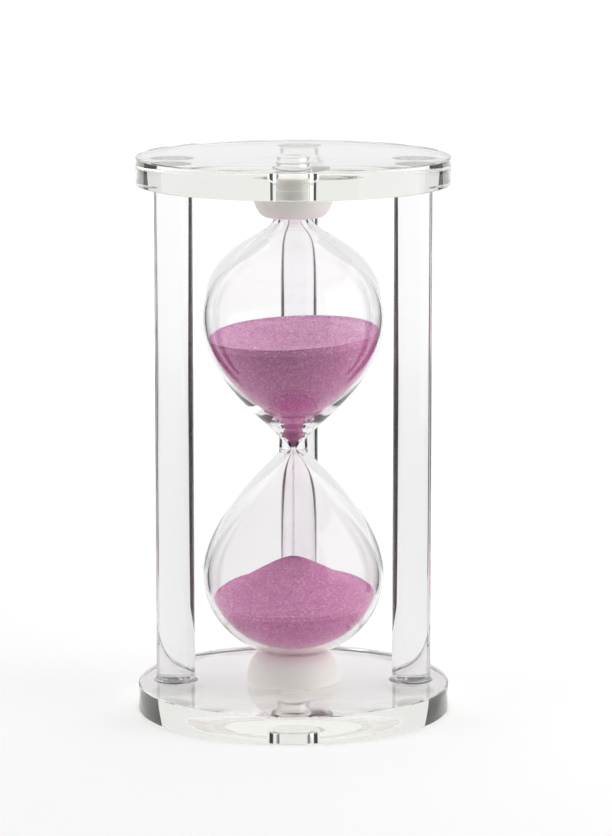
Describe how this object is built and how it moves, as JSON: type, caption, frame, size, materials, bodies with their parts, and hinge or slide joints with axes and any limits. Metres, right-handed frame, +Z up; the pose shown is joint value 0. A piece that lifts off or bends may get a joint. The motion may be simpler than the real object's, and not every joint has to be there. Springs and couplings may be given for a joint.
{
  "type": "hourglass",
  "caption": "Table hourglass: a blown glass vessel with coloured sand, held in soft seats between thick glass discs joined by clear glass rods.",
  "frame": {"origin": "centre of the base disc's underside, on the surface the timer stands on", "axes": "+Z up along the vessel's axis, +X from the left rod to the right rod, -Y the open front, +Y towards the rear rod"},
  "size_m": [0.09, 0.09, 0.161],
  "materials": {
    "plate_glass": "polished plate glass with a faint green edge",
    "rod_glass": "polished clear rod",
    "blown_glass": "clear blown glass",
    "clear_glue": "clear cured adhesive",
    "white_rubber": "matt white moulded silicone",
    "stopper_rubber": "matt white rubber",
    "sand": "dyed fine sand, pink magenta"
  },
  "bodies": {
    "frame": {"base_disc": "plate_glass", "top_disc": "plate_glass", "left_rod": "rod_glass", "right_rod": "rod_glass", "rear_rod": "rod_glass", "left_rod_lower_glue": "clear_glue", "left_rod_upper_glue": "clear_glue", "right_rod_lower_glue": "clear_glue", "right_rod_upper_glue": "clear_glue", "rear_rod_lower_glue": "clear_glue", "rear_rod_upper_glue": "clear_glue"},
    "vessel": {"lower_seat": "white_rubber", "upper_seat": "white_rubber", "glass_vessel": "blown_glass", "fill_stopper": "stopper_rubber", "upper_sand": "sand", "sand_stream": "sand", "lower_sand": "sand"}
  },
  "joints": [
    {"name": "vessel_turn", "type": "hinge", "parent": "frame", "child": "vessel", "pos_m": [0, 0, 0.008], "axis": [0, 0, 1], "continuous": true}
  ]
}
